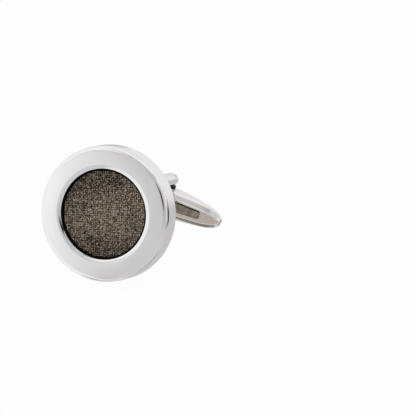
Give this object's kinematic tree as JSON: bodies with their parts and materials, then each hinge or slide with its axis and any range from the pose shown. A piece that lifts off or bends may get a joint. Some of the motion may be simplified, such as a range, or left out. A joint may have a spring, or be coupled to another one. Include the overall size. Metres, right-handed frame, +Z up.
{
  "type": "cufflink",
  "caption": "Round cufflink: a polished ring round a recessed woven metal disc, on a forked post with a tapered swivel toggle that snaps across behind the cuff.",
  "frame": {"origin": "centre of the head's back face, where the cuff bears", "axes": "+Y along the post from head to toggle, +X along the closed toggle, +Z up along the hinge pin"},
  "size_m": [0.017, 0.0237, 0.017],
  "materials": {
    "polished_head": "mirror-polished white metal plating",
    "polished_post": "polished white metal plating",
    "polished_toggle": "polished white metal plating",
    "woven_mesh": "dark brown-grey woven wire",
    "backing": "plain sheet",
    "bedding": "black adhesive",
    "washer": "blackened steel",
    "spring": "brown-grey spring steel"
  },
  "bodies": {
    "head": {"bezel_cup": "polished_head", "inlay_bedding": "bedding", "inlay_backing": "backing", "inlay_mesh": "woven_mesh", "post_foot": "polished_post", "post_yoke": "polished_post", "post_rivet": "polished_post", "hinge_pin": "polished_post", "upper_washer": "washer", "lower_washer": "washer"},
    "toggle": {"toggle_body": "polished_toggle", "leaf_spring": "spring"}
  },
  "joints": [
    {"name": "toggle_swivel", "type": "hinge", "parent": "head", "child": "toggle", "pos_m": [0, 0.0183, 0], "axis": [0, 0, 1], "range_deg": [-90, 90], "deforming": ["leaf_spring"]}
  ]
}
